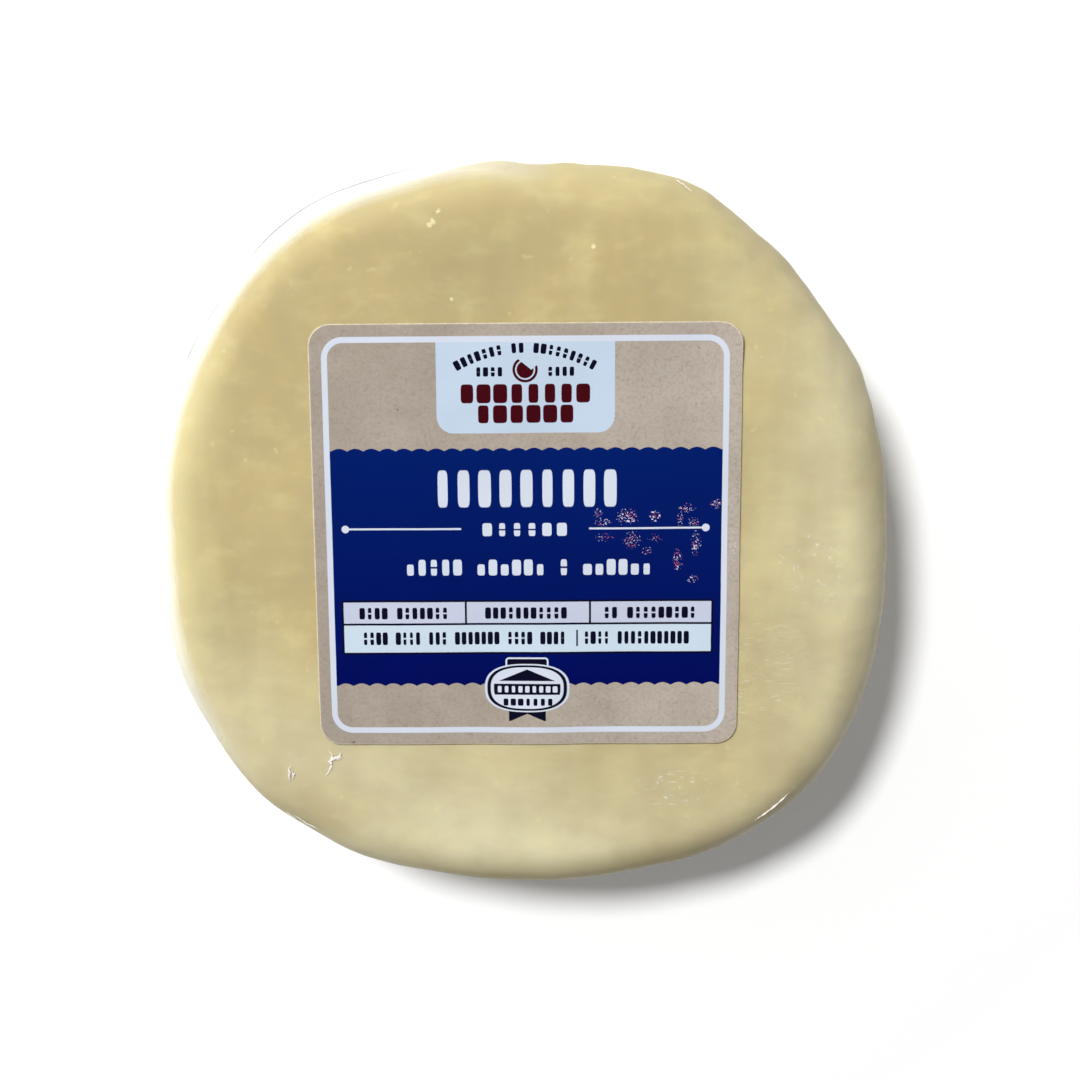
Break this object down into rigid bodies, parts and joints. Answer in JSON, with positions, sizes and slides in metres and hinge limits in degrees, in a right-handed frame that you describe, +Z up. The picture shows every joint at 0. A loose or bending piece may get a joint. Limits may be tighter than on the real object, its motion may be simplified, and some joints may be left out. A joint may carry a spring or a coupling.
{
  "type": "vacuum-packed provolone cheese round",
  "caption": "Flat round of pale yellow provolone with soft shoulders, sealed in tight clear film, with a square paper label on its upper face.",
  "frame": {"origin": "middle of the bounding box's underside, on the flat face that the pack rests on", "axes": "+Z up out of the labelled face, +X to the right and +Y to the top of the label as it is read"},
  "size_m": [0.114, 0.1134, 0.0256],
  "materials": {
    "cheese": "satin",
    "film": "gloss",
    "label": "satin"
  },
  "bodies": {
    "root": {"pack": "cheese", "label": "label"}
  },
  "joints": []
}
